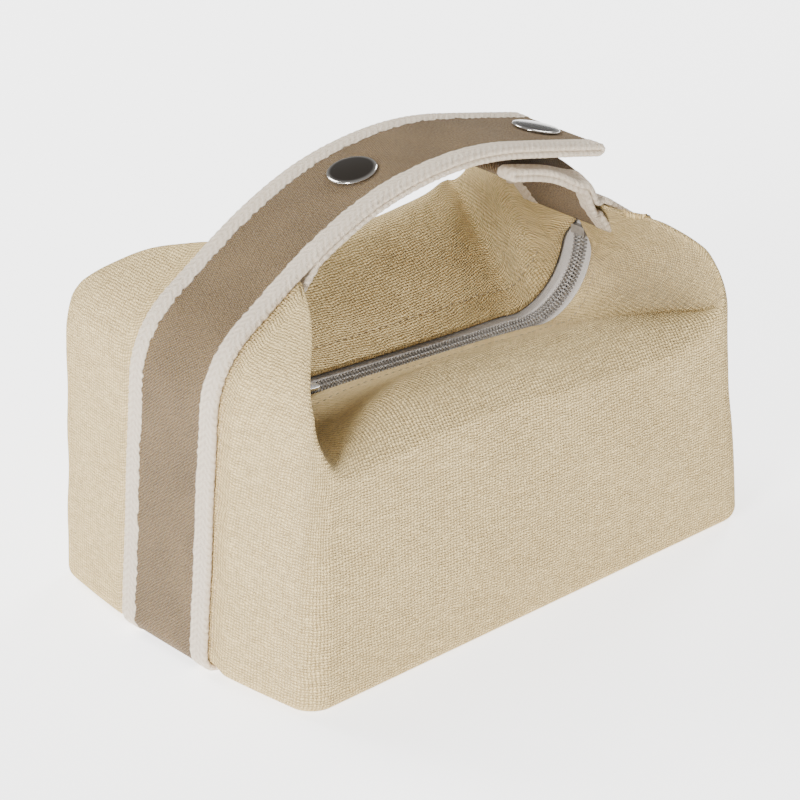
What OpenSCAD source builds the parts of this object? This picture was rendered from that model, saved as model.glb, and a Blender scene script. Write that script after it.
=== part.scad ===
// Canvas zip bag with a webbing handle that runs under the base, up both ends and
// closes over the top with a press stud. Millimetres, +X along the bag, -Y is the
// front, the bag stands on z = 0 and the long handle strap rises from the -X end.

/* [Body] */
// Length of the bag between the corners of its base
body_l = 186; // [155:1:224]
// Width of the bag across its long walls
body_w = 121; // [101:1:146]
// How far each end wall bows out past the corners
end_bow = 5; // [2:0.5:8]
// Radius of the upright corners at the base
corner_r = 8; // [5:1:12]
// Radius of the upright corners where the walls fold over
top_corner_r = 4; // [3:1:8]
// Radius of the edge round the base
base_r = 4; // [3:0.5:6]
// Thickness of the canvas
canvas_t = 1.4; // [1:0.1:1.8]
// Thickness of the lining
lining_t = 0.5; // [0.4:0.1:0.7]
// Thickness of the board that stiffens the base
board_t = 1.6; // [1:0.2:2.4]

/* [Ends] */
// Height of the shoulder of the left end, where the wall turns in
left_shoulder_z = 97; // [88:1:116]
// Height of the shoulder of the right end
right_shoulder_z = 89.5; // [82:0.5:108]
// Inward lean of the left end wall, degrees
left_lean = 4.8; // [2:0.2:7]
// Inward lean of the right end wall, degrees
right_lean = 6.5; // [2:0.5:8]
// Slope of the left end above its shoulder, degrees from level
left_slope = 32; // [28:1:36]
// Slope of the right end above its shoulder, degrees from level
right_slope = 35; // [28:1:38]
// Distance from the left shoulder in to the peak of the canvas
left_peak_run = 32; // [27:1:38]
// Distance from the right shoulder in to the peak of the canvas
right_peak_run = 23; // [20:1:27]
// Radius of the turn at each shoulder
shoulder_r = 30; // [22:1:34]
// Height of the fold at the front left corner
front_left_z = 84; // [80:1:92]
// Height of the fold at the front right corner
front_right_z = 87; // [82:1:90]
// Height of the fold at the back left corner
back_left_z = 95; // [88:1:100]
// Height of the fold at the back right corner
back_right_z = 89; // [84:1:94]

/* [Top] */
// Height of the middle of the front wall, where it folds in
front_ridge_z = 91; // [84:1:98]
// Height of the middle of the back wall, where it folds in
back_ridge_z = 90; // [84:1:94]
// Fall of both folds from the middle to the right end
ridge_tilt = 9; // [0:1:13]
// Drop of the front fold at its left foot
front_dip = 23; // [10:1:28]
// Distance in from the long wall to the middle of the fold
ridge_in = 9; // [4:1:14]
// Radius of the fold along the middle of the long walls
fold_r = 15; // [8:1:20]
// Radius of the fold along the edges of the ends
ear_r = 4; // [3:0.5:6]

/* [Zip] */
// Height of the zip at the left end of its straight run
zip_left_z = 68; // [62:1:74]
// Height of the zip at the right end of its straight run
zip_right_z = 61.5; // [56:0.5:68]
// Distance of the upright ends of the zip from the corners of the base
zip_end_in = 17; // [14:1:22]
// Height of the tops of the zip below the peaks
zip_end_drop = 14; // [12:1:18]
// Radius of the turn at each end of the straight run
zip_turn_r = 24; // [20:1:28]
// Half of the slot between the canvas edges
slot_half = 8; // [7:0.5:10]
// Height of the canvas edges above the tapes
slot_rise = 2.9; // [2.6:0.1:3.4]
// Width of each tape under the canvas, measured from the middle
tape_half = 9.4; // [9:0.2:10]
// Thickness of the tapes
tape_t = 0.6; // [0.4:0.1:0.8]
// Outer half width of the closed coil
coil_half = 3; // [2.4:0.2:3.4]
// Height of the coil above the tape
coil_h = 1.7; // [1.2:0.1:2]

/* [Webbing] */
// Width of the webbing
strap_w = 40; // [34:1:48]
// Thickness of one layer of webbing
strap_t = 1.8; // [1.4:0.1:2.2]
// Radius of the handle's arch
handle_r = 117; // [105:1:140]
// Slope of the straight tail of the long strap, degrees
tail_slope = 13.5; // [10:0.5:16]
// Length of the straight tail
tail_l = 34; // [30:1:42]
// Clear distance between the tail and the short strap under it
snap_gap = 3.4; // [3.2:0.1:4.2]
// How far the short strap runs under the tail, from the tail's end
short_lap = 36; // [30:1:42]
// Length of the facings inside the peaks
facing_l = 9; // [7:0.5:11]

/* [Press studs] */
// Diameter of the caps
cap_d = 15.4; // [12.5:0.1:17]
// Thickness of the caps
cap_t = 1.4; // [1:0.1:1.8]
// Radius of the shanks that pass through the webbing
shank_r = 1.7; // [1.4:0.1:2]
// Radius of the head of the stud
stud_r = 2.7; // [2.4:0.1:2.9]
// Height of the head of the stud above its flange
stud_h = 1.6; // [1.2:0.1:1.8]
// Play between the stud and the socket, all round
snap_play = 1.0; // [0.9:0.1:1.2]
// Outer radius of the sockets
socket_r = 6; // [5.4:0.1:6.6]
// Distance of the far cap from the end of the tail
cap_inset = 10; // [9:0.5:12]
// Distance of the near cap along the arch from its top
near_cap_back = 26; // [14:1:40]

/* [Slider] */
// Length of the slider
slider_l = 12; // [10:0.5:13]
// Half of the slider's width
slider_half = 4.4; // [4.2:0.1:5]
// Distance of the parked slider from the left end of the straight run
slider_in = 8; // [7.5:0.5:12]
// Length of the puller from its bar
puller_l = 25; // [20:1:27]
// Width of the puller
puller_w = 7.6; // [6.4:0.2:8]
// Resting angle of the puller above the zip, degrees
puller_rest = 28; // [22:1:34]

/* [Hidden] */

LEFT = 0;
RIGHT = 1;
clear = 0.3;            // space between parts that lie on each other
half_l = body_l / 2;
half_w = body_w / 2;
half_strap = strap_w / 2;
end_half = half_l + end_bow;
lay_gap = 0.2;          // space between the webbing and the canvas
lay = strap_t + lay_gap; // height of the webbing's face above the canvas
base_z = lay;           // underside of the canvas, above the webbing
doubled = 2 * strap_t + 0.4;
bow_loss = [0.4, -0.5];  // share of the bow that each end loses at its shoulder
ear_round = 0.5;        // share of the fold's fall that comes close to the corner
corner_z = [[front_left_z, front_right_z], [back_left_z, back_right_z]];
lean = [left_lean, right_lean];
shoulder_z = [left_shoulder_z, right_shoulder_z];
slope = [left_slope, right_slope];
peak_run = [left_peak_run, right_peak_run];
side = [-1, 1];

// ---- Profile of an end wall: a leaning line, a turn and a sloping line ----
function shoulder_x(e) = end_half - (shoulder_z[e] - base_r) * tan(lean[e]);
function turn_half(e) = (90 - slope[e] - lean[e]) / 2;
function turn_reach(e) = shoulder_r * tan(turn_half(e));
function turn_start(e) = [shoulder_x(e) + turn_reach(e) * sin(lean[e]), shoulder_z[e] - turn_reach(e) * cos(lean[e])];
function turn_end(e) = [shoulder_x(e) - turn_reach(e) * cos(slope[e]), shoulder_z[e] + turn_reach(e) * sin(slope[e])];
function turn_centre(e) = turn_start(e) - shoulder_r * [cos(lean[e]), sin(lean[e])];
function end_x(e, z) =
    z <= turn_start(e)[1] ? end_half - (z - base_r) * tan(lean[e]) :
    z <= turn_end(e)[1] ? turn_centre(e)[0] + sqrt(pow(shoulder_r, 2) - pow(z - turn_centre(e)[1], 2)) :
    shoulder_x(e) - (z - shoulder_z[e]) / tan(slope[e]);
function peak_x(e) = shoulder_x(e) - peak_run[e];
function peak_z(e) = shoulder_z[e] + peak_run[e] * tan(slope[e]);

// Share of the way from the strap's edge to the corner, 0 under the strap
function past_strap(y) = max(0, abs(y) - half_strap) / (half_w - half_strap);
function ear_z(e, y) = let(p = past_strap(y))
    peak_z(e) - (peak_z(e) - corner_z[y < 0 ? 0 : 1][e]) * ((1 - ear_round) * p + ear_round * pow(p, 4));
function bow_at(e, z) = end_bow * (1 - bow_loss[e] * min(1, z / shoulder_z[e]));

// ---- Stations round a half of the bag, from the middle of one end to the other ----
n_strap = 2;
n_ear = 5;
n_corner = 4;
n_front = 16;
seam_gap = 0.2;         // half of the space at the seams
ear_ys = concat([seam_gap], [for (i = [1:n_strap]) half_strap * i / n_strap],
    [for (i = [1:n_ear]) half_strap + (half_w - corner_r - half_strap) * i / n_ear]);
// Each station is [kind, end, value, side]: kind 0 is an end wall at a y, 1 a corner at an angle and 2 a
// long wall at a share of its length; side is -1 at the front and 1 at the back
function stations(f) = concat(
    [for (y = ear_ys) [0, LEFT, y, f]],
    [for (i = [1:n_corner]) [1, LEFT, 90 * i / n_corner, f]],
    [for (i = [1:n_front - 1]) [2, LEFT, 2 * i / n_front - 1, f]],
    [for (i = [n_corner:-1:1]) [1, RIGHT, 90 * i / n_corner, f]],
    [for (i = [len(ear_ys) - 1:-1:0]) [0, RIGHT, ear_ys[i], f]]);

// Distance of a station from the middle of the bag, for a corner of radius r
function station_y(s, r) =
    s[0] == 0 ? (s[2] <= half_strap ? s[2] :
        half_strap + (s[2] - half_strap) * (half_w - r - half_strap) / (half_w - corner_r - half_strap)) :
    s[0] == 1 ? half_w - r + r * sin(s[2]) : half_w;
// Point of the wall at a station, at height z, for a corner of radius r
function wall_point(s, z, r) = let(y = station_y(s, r))
    s[0] == 2 ? let(e = s[2] < 0 ? LEFT : RIGHT,
            reach = end_x(e, z) - bow_at(e, z) - r)
        [s[2] * reach, s[3] * y, z] :
    [side[s[1]] * (end_x(s[1], z) - bow_at(s[1], z) * pow(past_strap(y), 1.3)
        - (s[0] == 1 ? r * (1 - cos(s[2])) : 0)), s[3] * y, z];
// Height of the fold at a station
function ridge_height(f, share) = f < 0 ?
    front_ridge_z - ridge_tilt * share - (share < 0 ? front_dip * pow(-share, 2.5) : 3 * pow(share, 2.5)) :
    back_ridge_z - 0.6 * ridge_tilt * share + 3 * pow(share, 2);
function fold_z(s) = s[0] == 2 ? ridge_height(s[3], s[2]) :
    let(ear = ear_z(s[1], s[3] * station_y(s, top_corner_r)))
    s[0] == 1 ? mix(ear, min(ear, ridge_height(s[3], side[s[1]])), pow(s[2] / 90, 2)) : ear;
function fold_point(s) = let(p = wall_point(s, fold_z(s), top_corner_r))
    s[0] == 2 ? [p[0], p[1] - s[3] * ridge_in * (1 - pow(s[2], 4)), p[2]] : p;
function fold_radius(s) = s[0] == 2 ? ear_r + (fold_r - ear_r) * (1 - pow(s[2], 4)) : ear_r;

// ---- Path of the zip in the X-Z plane: up, turn, straight run, turn, up ----
zip_x = half_l - zip_end_in;
zip_fall = atan((zip_left_z - zip_right_z) / (2 * (zip_x - zip_turn_r)));
zip_dir = [cos(zip_fall), -sin(zip_fall)];
zip_top_z = [peak_z(LEFT) - zip_end_drop, peak_z(RIGHT) - zip_end_drop];
n_turn = 8;
function zip_turn(e) = let(sweep = 90 + (e == LEFT ? -zip_fall : zip_fall),
        centre = [side[e] * (zip_x - zip_turn_r), (e == LEFT ? zip_left_z : zip_right_z) + zip_turn_r])
    [for (i = [0:n_turn]) let(a = sweep * i / n_turn) centre + zip_turn_r * [side[e] * cos(a), -sin(a)]];
function reversed(v) = [for (i = [len(v) - 1:-1:0]) v[i]];
zip_path = concat([[-zip_x, zip_top_z[LEFT]]], zip_turn(LEFT), reversed(zip_turn(RIGHT)), [[zip_x, zip_top_z[RIGHT]]]);
function lengths(p, i = 0, sum = 0, out = [0]) = i == len(p) - 1 ? out :
    lengths(p, i + 1, sum + norm(p[i + 1] - p[i]), concat(out, [sum + norm(p[i + 1] - p[i])]));
zip_at = lengths(zip_path);
zip_len = zip_at[len(zip_at) - 1];
function on_zip(d) = [lookup(d, [for (i = [0:len(zip_path) - 1]) [zip_at[i], zip_path[i][0]]]),
    lookup(d, [for (i = [0:len(zip_path) - 1]) [zip_at[i], zip_path[i][1]]])];
function unit(v) = v / norm(v);
function left_of(v) = [-v[1], v[0]];
// Normal of the zip at a distance along it, towards the handle
function zip_normal(d) = left_of(unit(on_zip(min(zip_len, d + 1)) - on_zip(max(0, d - 1))));

// Distance along the zip that a station's slope runs down to
flat_from = zip_at[1 + n_turn];
flat_to = zip_at[2 + n_turn];
function zip_share(s) =
    s[0] == 2 ? flat_from + (flat_to - flat_from) * (s[2] + 1) / 2 :
    let(share = s[0] == 0 ? 0.8 * s[2] / (half_w - corner_r) : 0.8 + 0.2 * s[2] / 90)
    s[1] == LEFT ? share * flat_from : zip_len - share * (zip_len - flat_to);
function mouth_point(s) = let(d = zip_share(s), p = on_zip(d) + slot_rise * zip_normal(d),
        closing = s[0] == 0 ? sin(90 * min(1, s[2] / half_strap)) : 1)
    [p[0], s[3] * slot_half * closing, p[1]];

// ---- The skin of the body as rings from the middle of the base to the mouth ----
wall_shares = [0.12, 0.3, 0.48, 0.64, 0.78, 0.9, 1];
bend_shares = [0.25, 0.5, 0.75, 1];
slope_shares = [0.25, 0.5, 0.75, 0.92, 1];
function mix(a, b, t) = a + (b - a) * t;
function bezier(a, b, c, t) = mix(mix(a, b, t), mix(b, c, t), t);
function wall_top(s) = let(f = fold_point(s), z = f[2] - fold_radius(s), low = wall_point(s, z, top_corner_r))
    [low[0], mix(low[1], f[1], s[0] == 2 ? 0.12 : 0.5), z];
function slope_top(s) = let(f = fold_point(s), m = mouth_point(s)) f + unit(m - f) * fold_radius(s);
// Underside at a station: the rim of the base drops beside the webbing to the surface
function low_z(s) = s[0] == 0 && s[2] <= half_strap ? base_z : 0;
function wall_at(s, t) = let(top = wall_top(s), z0 = low_z(s) + base_r,
        p = wall_point(s, mix(z0, top[2], t), mix(corner_r, top_corner_r, t)),
        q = wall_point(s, top[2], top_corner_r))
    p + (top - q) * pow(t, 3);
function foot_at(s, a) = let(p = wall_at(s, 0), inward = [-sign(p[0]) * (s[0] == 2 ? 0 : s[0] == 1 ? cos(s[2]) : 1),
        -s[3] * (s[0] == 0 ? 0 : s[0] == 1 ? sin(s[2]) : 1), 0])
    [p[0], p[1], low_z(s)] + inward * base_r * (1 - sin(a)) + [0, 0, base_r * (1 - cos(a))];
floor_shares = [0.5, 0.94];
function station_line(s) = let(first = foot_at(s, 0), m = mouth_point(s), f = fold_point(s), a = wall_top(s),
        b = slope_top(s))
    concat([for (t = floor_shares) [first[0] * t, first[1] * t, base_z]],
        [for (a = [0, 14, 35, 65, 90]) foot_at(s, a)],
        [for (t = wall_shares) wall_at(s, t)],
        [for (t = bend_shares) bezier(a, f, b, t)],
        [for (t = slope_shares) mix(b, m, t)]);
front_lines = [for (s = stations(-1)) station_line(s)];
back_lines = [for (s = stations(1)) station_line(s)];
n_half = len(front_lines);
lines = concat(front_lines, reversed(back_lines));
n_round = len(lines);
n_up = len(lines[0]);

// Point j of line i, moved in through the skin by a depth
function grid(i, j) = lines[(i + n_round) % n_round][max(0, min(n_up - 1, j))];
function inward_at(i, j) = let(along = grid(i + 1, j) - grid(i - 1, j), up = grid(i, j + 1) - grid(i, j - 1))
    unit(cross(up, along));
function sunk(i, j, depth) = grid(i, j) + depth * inward_at(i, j);
function ring(j, depth) = [for (i = [0:n_round - 1]) depth == 0 ? grid(i, j) : sunk(i, j, depth)];
function skin_faces(rings, n) = concat(
    [for (r = [0:rings - 2]) for (i = [0:n - 1]) let(k = (i + 1) % n) each
        [[r * n + i, (r + 1) * n + i, (r + 1) * n + k], [r * n + i, (r + 1) * n + k, r * n + k]]],
    [for (i = [0:n - 1]) [rings * n, i, (i + 1) % n]],
    [for (i = [0:n - 1]) [rings * n + 1, (rings - 1) * n + (i + 1) % n, (rings - 1) * n + i]]);
// Shell between two depths under the outer skin
module shell(outer, inner, last) {
    rings = concat([for (j = [0:last]) ring(j, outer)], [for (j = [last:-1:0]) ring(j, inner)]);
    points = concat([for (r = rings) each r], [[0, 0, base_z + outer], [0, 0, base_z + inner]]);
    polyhedron(points, skin_faces(len(rings), n_round), convexity = 8);
}

// Panel with thickness over columns a to b and rows j0 to j1 of the skin, between two depths
module panel(a, b, j0, j1, outer, inner) {
    rows = j1 - j0 + 1;
    cols = b - a + 1;
    points = [for (depth = [outer, inner]) for (i = [a:b]) for (j = [j0:j1]) sunk(i, j, depth)];
    function at(side, i, j) = side * rows * cols + i * rows + j;
    function quad(a, b, c, d) = [[a, b, c], [a, c, d]];
    polyhedron(points, concat(
        [for (i = [0:cols - 2]) for (j = [0:rows - 2]) each concat(
            quad(at(0, i, j), at(0, i, j + 1), at(0, i + 1, j + 1), at(0, i + 1, j)),
            quad(at(1, i, j), at(1, i + 1, j), at(1, i + 1, j + 1), at(1, i, j + 1)))],
        [for (i = [0:cols - 2]) each concat(
            quad(at(0, i, 0), at(0, i + 1, 0), at(1, i + 1, 0), at(1, i, 0)),
            quad(at(0, i, rows - 1), at(1, i, rows - 1), at(1, i + 1, rows - 1), at(0, i + 1, rows - 1)))],
        [for (j = [0:rows - 2]) each concat(
            quad(at(0, 0, j), at(1, 0, j), at(1, 0, j + 1), at(0, 0, j + 1)),
            quad(at(0, cols - 1, j), at(0, cols - 1, j + 1), at(1, cols - 1, j + 1), at(1, cols - 1, j)))]),
        convexity = 8);
}
n_floor = len(floor_shares);            // row of the rim of the base
n_lined = n_floor + 4 + 5;              // row where the lining ends, under the fold
lining_depth = canvas_t + board_t + 2 * clear;

module front_canvas() {
    color("wheat") panel(0, n_half - 1, n_floor + 1, n_up - 1, 0, canvas_t);
}
module back_canvas() {
    color("wheat") panel(n_half, n_round - 1, n_floor + 1, n_up - 1, 0, canvas_t);
}
module base_canvas() {
    color("tan") shell(0, canvas_t, n_floor);
}
module front_lining() {
    color("ivory") panel(0, n_half - 1, n_floor + 4, n_lined, lining_depth, lining_depth + lining_t);
}
module back_lining() {
    color("ivory") panel(n_half, n_round - 1, n_floor + 4, n_lined, lining_depth, lining_depth + lining_t);
}
// Flat sheet that fits the floor inside the walls, its underside at z
module floor_sheet(z, t) {
    floor_r = corner_r - 1;
    reach = [end_half - end_bow, half_w] - [1, 1] * (base_r + floor_r + 1);
    translate([0, 0, z]) linear_extrude(t) hull()
        for (x = [-1, 1], y = [-1, 1]) translate([x * reach[0], y * reach[1]]) circle(floor_r, $fn = 32);
}
module base_board() {
    color("gray") floor_sheet(base_z + canvas_t + clear / 2, board_t);
}
module base_lining() {
    color("ivory") floor_sheet(base_z + canvas_t + board_t + clear, lining_t);
}

// ---- Webbing: bands drawn in the X-Z plane and given their width along Y ----
function normal_at(p, i) = left_of(unit(p[min(len(p) - 1, i + 1)] - p[max(0, i - 1)]));
function band(p, low, high) = concat([for (i = [0:len(p) - 1]) p[i] + high * normal_at(p, i)],
    [for (i = [len(p) - 1:-1:0]) p[i] + low * normal_at(p, i)]);
module across(y0, y1) {
    translate([0, y1, 0]) rotate([90, 0, 0]) linear_extrude(y1 - y0) children();
}
// Outline of the canvas at an end, from the foot of the wall to the peak
n_bend = 8;
function arc(centre, r, from, to, n) = [for (i = [0:n]) let(a = mix(from, to, i / n)) centre + r * [cos(a), sin(a)]];
function end_outline(e) = let(s = side[e], points = concat(
        arc([end_half - base_r, base_z + base_r], base_r, -90, 0, n_bend),
        arc(turn_centre(e), shoulder_r, lean[e], 90 - slope[e], n_bend),
        [peak_at(e) - joint_gap * rise(e)]))
    [for (p = points) [s * p[0], p[1]]];
joint_gap = 0.6;        // space on each side of the line where a strap bends up
function rise(e) = [-cos(slope[e]), sin(slope[e])];   // up the slope of an end, for x measured outwards
function over(e) = [sin(slope[e]), cos(slope[e])];    // outward normal of the slope
function peak_at(e) = [peak_x(e), peak_z(e)];

module sling_strap() {
    color("darkkhaki") across(-half_strap, half_strap)
        polygon(band(concat(reversed(end_outline(LEFT)), end_outline(RIGHT)), -lay, -lay_gap));
}

// Facing on the inner side of a peak, hanging from under the strap
facing_tilt = 8;        // lean of the facings from upright, degrees
module facing(e) {
    color("darkkhaki") translate([side[e] * (peak_x(e) - strap_t - 2 * clear), 0, peak_z(e) - ear_r / 2])
        rotate([0, side[e] * -facing_tilt, 0]) translate([-strap_t / 2, -half_strap, -facing_l])
            cube([strap_t, strap_w, facing_l]);
}
module left_strap_facing() { facing(LEFT); }
module right_strap_facing() { facing(RIGHT); }

// Upper face of the long strap: an arch that leaves the left slope, then a straight tail
strap_root = [-1, 1];
handle_start = let(p = peak_at(LEFT) + joint_gap * rise(LEFT) + lay * over(LEFT)) [-p[0], p[1]];
handle_centre = handle_start - handle_r * [-over(LEFT)[0], over(LEFT)[1]];
tail_start = handle_centre + handle_r * [sin(tail_slope), cos(tail_slope)];
tail_dir = [cos(tail_slope), -sin(tail_slope)];
tail_up = [sin(tail_slope), cos(tail_slope)];
tail_end = tail_start + tail_l * tail_dir;
long_path = concat(arc(handle_centre, handle_r, 90 + left_slope, 90 - tail_slope, 24), [tail_end]);
function on_tail(s) = tail_end - s * tail_dir;
near_angle = asin((near_cap_back) / handle_r);
near_point = handle_centre + handle_r * [-sin(near_angle), cos(near_angle)];

// Places its children on the tail at the far stud, z = 0 on the upper face of the webbing
module at_far() {
    p = on_tail(cap_inset);
    translate([p[0], 0, p[1]]) rotate([0, tail_slope, 0]) children();
}
module at_near() {
    translate([near_point[0], 0, near_point[1]]) rotate([0, -near_angle, 0]) children();
}
module shank_hole(depth) {
    translate([0, 0, -depth - 1]) cylinder(r = shank_r + 0.1, h = depth + 2, $fn = 32);
}

// Round end of doubled webbing: half a turn clockwise about its middle
function fold_back(middle, from) = arc(middle, doubled / 2, from - 15, from - 165, 10);
module long_strap() {
    tip = tail_end - doubled / 2 * tail_up;
    color("darkkhaki") difference() {
        across(-half_strap, half_strap)
            polygon(concat(long_path, fold_back(tip, 90 - tail_slope),
                [for (i = [len(long_path) - 1:-1:0]) long_path[i] - doubled * normal_at(long_path, i)]));
        at_far() shank_hole(doubled);
        at_near() shank_hole(doubled);
    }
}

// Upper face of the short strap: flat under the tail, then down to the right slope
short_drop = doubled + snap_gap;
past_stud = 5.6;        // flat length left beyond the middle of the stud
short_tip = on_tail(short_lap) - short_drop * tail_up;
short_bend = on_tail(cap_inset - past_stud) - short_drop * tail_up;
short_end = peak_at(RIGHT) + joint_gap * rise(RIGHT) + lay * over(RIGHT);
bend_pull = norm(short_end - short_bend) / 3;
function cubic(a, b, c, d, t) = mix(bezier(a, b, c, t), bezier(b, c, d, t), t);
short_path = concat([short_tip], [for (i = [0:10]) cubic(short_bend, short_bend + bend_pull * tail_dir,
    short_end + bend_pull * rise(RIGHT), short_end, i / 10)]);
module short_strap() {
    color("darkkhaki") difference() {
        across(-half_strap, half_strap)
            polygon(concat(short_path,
                [for (i = [len(short_path) - 1:-1:0]) short_path[i] - doubled * normal_at(short_path, i)],
                fold_back(short_tip - doubled / 2 * tail_up, 270 - tail_slope)));
        at_far() translate([0, 0, -short_drop]) shank_hole(doubled);
    }
}

// ---- Press studs ----
cap_r = cap_d / 2;
flange_t = 0.6;
socket_h = 2.1;         // depth of a socket under the webbing
module cap() {
    rotate_extrude($fn = 64) polygon(concat([[0, 0.05 - doubled / 2], [shank_r, 0.05 - doubled / 2], [shank_r, 0.1],
        [cap_r - 0.4, 0.1], [cap_r, 0.35]],
        [for (i = [0:6]) let(a = 15 * i) [(cap_r - 0.1) * cos(a), 0.5 + (cap_t - 0.4) * sin(a)]]));
}
module near_cap() { color("silver") at_near() cap(); }
module far_cap() { color("silver") at_far() cap(); }
// A stud on the upper side of z = 0, with half of its shank below
module stud() {
    rotate_extrude($fn = 48) polygon([[0, 0.1 - doubled / 2], [shank_r - 0.2, 0.1 - doubled / 2], [shank_r - 0.2, 0.1],
        [socket_r - 0.8, 0.1], [socket_r - 0.8, flange_t], [stud_r - 0.5, flange_t], [stud_r, flange_t + 0.6],
        [stud_r, flange_t + stud_h - 0.6], [stud_r - 0.6, flange_t + stud_h], [0, flange_t + stud_h]]);
}
module near_stud() {
    color("silver") at_near() translate([0, 0, -doubled - 0.15]) rotate([180, 0, 0]) stud();
}
module far_socket() {
    bore = stud_r + snap_play;
    color("silver") at_far() translate([0, 0, -doubled]) rotate([180, 0, 0]) rotate_extrude($fn = 48)
        polygon([[0, 0.1 - doubled / 2], [shank_r - 0.2, 0.1 - doubled / 2], [shank_r - 0.2, 0.1], [socket_r, 0.1],
            [socket_r, socket_h - 0.4], [socket_r - 0.4, socket_h], [bore, socket_h], [bore, flange_t],
            [0, flange_t]]);
}
module short_stud() {
    color("silver") at_far() translate([0, 0, -short_drop]) stud();
}
module stud_back() {
    color("silver") at_far() translate([0, 0, -short_drop - doubled]) rotate([180, 0, 0]) rotate_extrude($fn = 48)
        polygon([[0, 0.1 - doubled / 2], [shank_r - 0.2, 0.1 - doubled / 2], [shank_r - 0.2, 0.1],
            [socket_r - 0.6, 0.1], [socket_r - 0.6, 0.6], [socket_r - 1.2, 1], [0, 1]]);
}

// ---- Zip ----
mid_gap = 0.6;          // half of the space between the tapes, where the slider's post runs
module tape(y0, y1) {
    color("gainsboro") across(y0, y1) polygon(band(zip_path, -tape_t, 0));
}
module front_zip_tape() { tape(-tape_half, -mid_gap); }
module back_zip_tape() { tape(mid_gap, tape_half); }
// The coil starts by the parked slider and runs to the top of the right end
stop_l = 3;
stop_drop = 2.6;         // distance of the bottom stop below the top of the tapes
slider_start = on_zip(flat_from) + (slider_in - slider_l / 2) * zip_dir;
coil_start = on_zip(flat_from) + 1 * zip_dir;
coil_path = concat([coil_start], reversed(zip_turn(RIGHT)), [[zip_x, zip_top_z[RIGHT] - stop_l - stop_drop]]);
module coil(y0, y1) {
    color("silver") across(y0, y1) polygon(band(coil_path, 0.05, coil_h));
}
module front_zip_coil() { coil(-coil_half, -mid_gap); }
module back_zip_coil() { coil(mid_gap, coil_half); }
module zip_top_stops() {
    color("silver") for (y = [-1, 1]) translate([coil_start[0], 0, coil_start[1]]) rotate([0, zip_fall, 0])
        translate([-stop_l - 0.2, y > 0 ? mid_gap : -coil_half, 0.35]) cube([stop_l, coil_half - mid_gap, coil_h + 0.3]);
}
module zip_bottom_stop() {
    color("silver") translate([zip_x - coil_h - 0.3, -coil_half, zip_top_z[RIGHT] - stop_l - stop_drop + 0.3])
        cube([coil_h + 0.2, 2 * coil_half, stop_l]);
}

// Slider: plates over and under the tapes, joined by a post in the gap, with a bridge on top
plate_t = 1;
run = 0.5;              // space between the slider and what it runs along
bridge_h = 3;
bar_r = 0.8;
deck = coil_h + run + plate_t;          // height of the slider's upper face above the tape
bar_z = deck + 1.5;                     // height of the middle of the puller's bar
puller_t = 1.2;
module at_slider() {
    translate([slider_start[0], 0, slider_start[1]]) rotate([0, zip_fall, 0]) children();
}
module slider_body() {
    keel = tape_t + run + plate_t;
    color("silver") at_slider() {
        translate([0, -slider_half, deck - plate_t]) cube([slider_l, 2 * slider_half, plate_t]);
        translate([0, -slider_half, -keel]) cube([slider_l, 2 * slider_half, plate_t]);
        translate([0, -mid_gap + 0.35, -keel + plate_t / 2]) cube([3, 2 * mid_gap - 0.7, keel + deck - plate_t]);
        // bridge over the bar of the puller
        difference() {
            translate([1.5, -1.2, deck - 0.2]) cube([slider_l - 3, 2.4, bridge_h + 1]);
            translate([3, -2, deck]) cube([slider_l - 6, 4, bridge_h]);
        }
    }
}
module puller() {
    frame = 1.6;
    color("silver") at_slider() translate([slider_l / 2, 0, bar_z]) rotate([0, puller_rest, 0]) difference() {
        union() {
            rotate([90, 0, 0]) cylinder(r = bar_r, h = puller_w, center = true, $fn = 24);
            translate([-puller_l + puller_w / 2, -puller_w / 2, -puller_t / 2])
                cube([puller_l - puller_w / 2, puller_w, puller_t]);
            translate([-puller_l + puller_w / 2, 0, -puller_t / 2]) cylinder(d = puller_w, h = puller_t, $fn = 48);
        }
        // window that clears the bridge
        translate([-8, -puller_w / 2 + frame, -puller_t]) cube([8 - bar_r, puller_w - 2 * frame, 2 * puller_t]);
        translate([-puller_l + puller_w / 2, 0, -puller_t]) cylinder(r = 1.6, h = 2 * puller_t, $fn = 32);
    }
}

front_canvas();
back_canvas();
base_canvas();
front_lining();
back_lining();
base_lining();
base_board();
sling_strap();
left_strap_facing();
right_strap_facing();
long_strap();
short_strap();
front_zip_tape();
back_zip_tape();
front_zip_coil();
back_zip_coil();
zip_top_stops();
zip_bottom_stop();
slider_body();
puller();
near_cap();
near_stud();
far_cap();
far_socket();
short_stud();
stud_back();
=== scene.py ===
import math

import bmesh
import bpy
import numpy as np
from mathutils import Matrix, Vector


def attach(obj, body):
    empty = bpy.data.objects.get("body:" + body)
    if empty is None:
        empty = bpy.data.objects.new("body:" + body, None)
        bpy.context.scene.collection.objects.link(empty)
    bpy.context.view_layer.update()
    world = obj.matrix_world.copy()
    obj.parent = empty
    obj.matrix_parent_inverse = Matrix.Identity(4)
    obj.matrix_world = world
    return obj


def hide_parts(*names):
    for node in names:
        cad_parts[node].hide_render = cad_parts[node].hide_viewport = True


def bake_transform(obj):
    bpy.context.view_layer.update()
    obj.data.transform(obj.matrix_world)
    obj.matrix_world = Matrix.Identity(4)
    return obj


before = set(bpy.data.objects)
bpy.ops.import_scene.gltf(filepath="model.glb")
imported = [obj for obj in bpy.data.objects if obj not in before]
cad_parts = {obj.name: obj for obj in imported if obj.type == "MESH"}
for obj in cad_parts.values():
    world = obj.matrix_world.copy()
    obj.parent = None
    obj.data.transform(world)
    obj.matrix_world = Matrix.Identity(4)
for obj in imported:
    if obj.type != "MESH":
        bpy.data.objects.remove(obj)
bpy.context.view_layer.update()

MM = 0.001


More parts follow.
